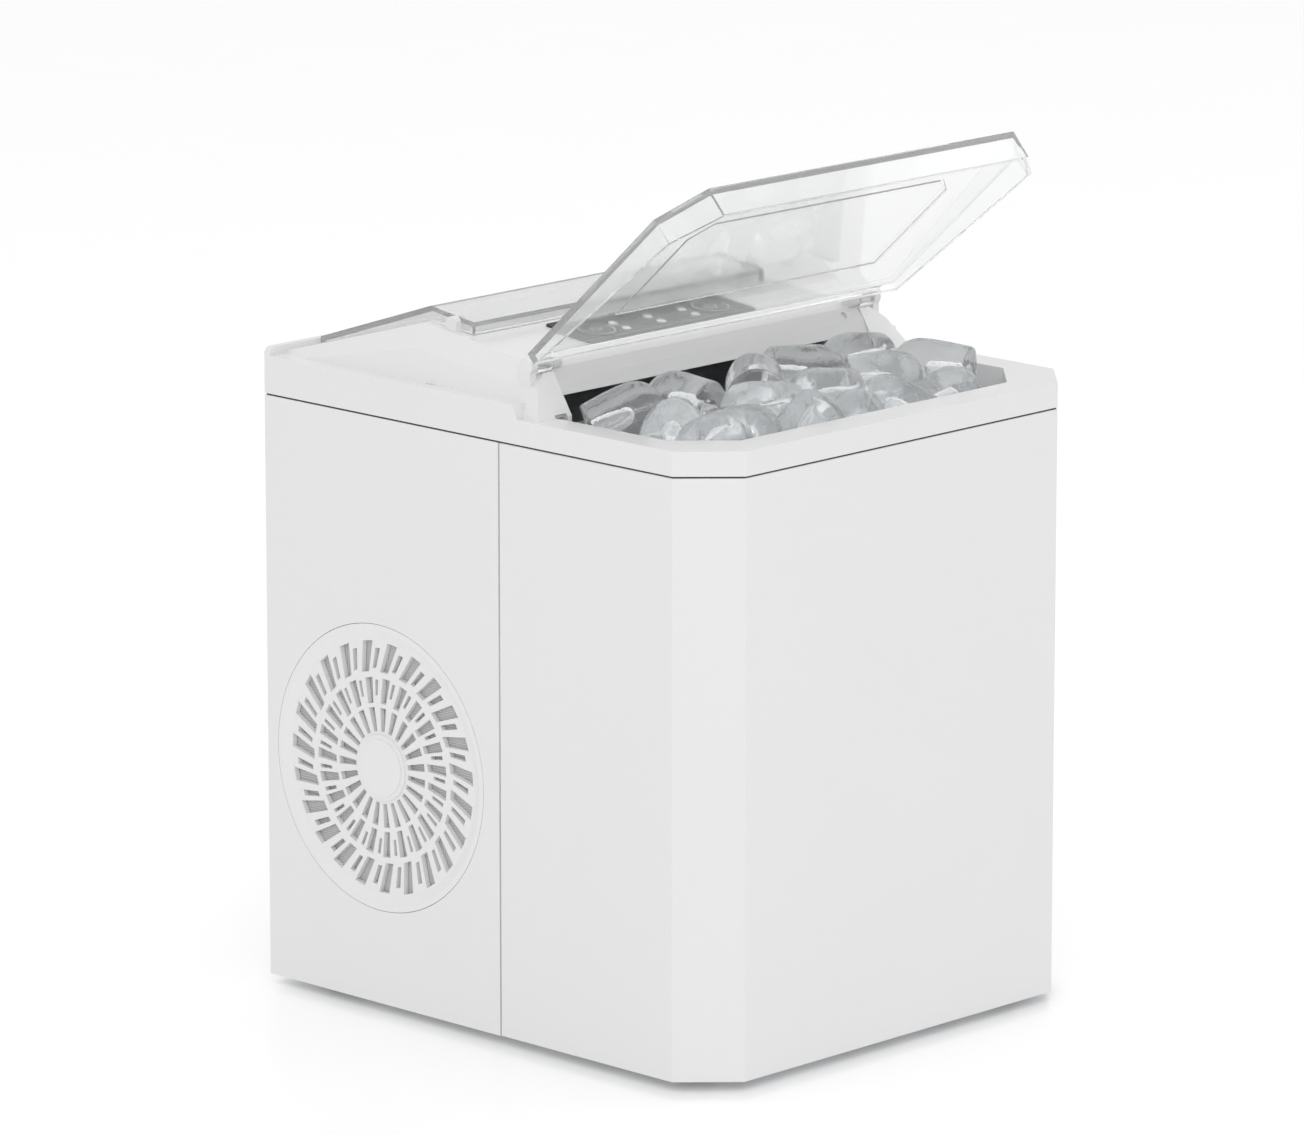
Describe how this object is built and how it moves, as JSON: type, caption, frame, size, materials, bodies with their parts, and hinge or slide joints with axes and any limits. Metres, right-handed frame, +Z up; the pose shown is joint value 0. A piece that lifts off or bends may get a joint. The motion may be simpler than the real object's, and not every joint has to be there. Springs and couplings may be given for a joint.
{
  "type": "countertop ice maker",
  "caption": "Countertop bullet-ice maker with a boxy white case, clear hinged lid over an ice basket, sloping control deck, clear fill cover at the back and a round fan grille on its side",
  "frame": {"origin": "centre of the footprint, on the surface that the rubber feet stand on", "axes": "+Z up, front face towards -Y, +X to the viewer's right when facing the front"},
  "size_m": [0.236, 0.265, 0.3797],
  "materials": {
    "shell_white": "satin white ABS",
    "cover_white": "gloss white ABS",
    "grille_white": "satin white ABS",
    "filter_grey": "fine grey mesh",
    "bar_grey": "satin grey ABS",
    "clear_lid": "clear polystyrene",
    "panel_grey": "gloss dark grey film",
    "button_grey": "gloss dark grey with a pale ring",
    "light_clear": "frosted light pipes",
    "board_green": "green circuit board",
    "liner_white": "satin food-grade plastic",
    "foam_blue": "expanded foam",
    "basket_clear": "translucent polypropylene",
    "copper": "drawn copper",
    "nickel": "nickel-plated copper",
    "tray_white": "satin plastic",
    "motor_black": "black plastic case",
    "compressor_black": "black painted steel",
    "rubber_black": "black rubber",
    "rubber_grey": "grey silicone",
    "fin_aluminium": "bare fins",
    "fan_black": "black nylon",
    "steel": "stainless steel",
    "silicone_clear": "translucent silicone hose",
    "galvanised": "zinc-plated sheet"
  },
  "bodies": {
    "case": {"base_pan": "galvanised", "rubber_feet": "rubber_black", "front_shell": "shell_white", "rear_shell": "shell_white", "fan_grille": "grille_white", "grille_filter": "filter_grey", "top_cover": "cover_white", "hinge_bar": "bar_grey", "control_overlay": "panel_grey", "indicator_lights": "light_clear", "display_board": "board_green", "inner_liner": "liner_white", "insulation": "foam_blue", "ice_basket": "basket_clear", "evaporator_bracket": "galvanised", "evaporator": "nickel", "tray_motor": "motor_black", "shovel_motor": "motor_black", "ice_level_sensor": "motor_black", "compressor": "compressor_black", "compressor_grommets": "rubber_black", "condenser": "fin_aluminium", "fan_shroud": "fan_black", "fan_motor": "steel", "filter_drier": "copper", "refrigerant_lines": "copper", "water_pump": "motor_black", "pump_hose": "silicone_clear", "intake_hose": "silicone_clear", "fill_duct": "silicone_clear", "strainer": "tray_white", "drain_spout": "liner_white", "main_board": "board_green", "board_standoffs": "steel", "cord_gland": "rubber_black", "cover_screws": "steel"},
    "lid": {"front_lid": "clear_lid", "front_lid_pins": "steel"},
    "fill_cover": {"rear_cover": "clear_lid", "rear_cover_pins": "steel"},
    "select_key": {"select_button": "button_grey"},
    "power_key": {"power_button": "button_grey"},
    "tray": {"water_tray": "tray_white"},
    "shovel": {"ice_shovel": "tray_white"},
    "impeller": {"fan_blade": "fan_black"},
    "plug": {"drain_plug": "rubber_grey"}
  },
  "joints": [
    {"name": "front_lid_hinge", "type": "hinge", "parent": "case", "child": "lid", "pos_m": [0, -0.016, 0.294], "axis": [-1, 0, 0], "range_deg": [-46, 50]},
    {"name": "fill_cover_hinge", "type": "hinge", "parent": "case", "child": "fill_cover", "pos_m": [0, 0.044, 0.3019], "axis": [1, 0, 0], "range_deg": [0, 95]},
    {"name": "select_button_press", "type": "slide", "parent": "case", "child": "select_key", "axis": [0, 0.1011, -0.9949], "range_m": [0, 0.0005], "stiffness_N_per_m": 800},
    {"name": "power_button_press", "type": "slide", "parent": "case", "child": "power_key", "axis": [0, 0.1011, -0.9949], "range_m": [0, 0.0005], "stiffness_N_per_m": 800},
    {"name": "water_tray_tilt", "type": "hinge", "parent": "case", "child": "tray", "pos_m": [0, 0.044, 0.241], "axis": [1, 0, 0], "range_deg": [0, 80]},
    {"name": "ice_shovel_swing", "type": "hinge", "parent": "case", "child": "shovel", "pos_m": [0, -0.008, 0.25], "axis": [-1, 0, 0], "range_deg": [0, 60]},
    {"name": "fan_spin", "type": "hinge", "parent": "case", "child": "impeller", "pos_m": [-0.09, 0.063, 0.1086], "axis": [1, 0, 0], "continuous": true},
    {"name": "drain_plug_pull", "type": "slide", "parent": "case", "child": "plug", "axis": [1, 0, 0], "range_m": [0, 0.03]}
  ]
}
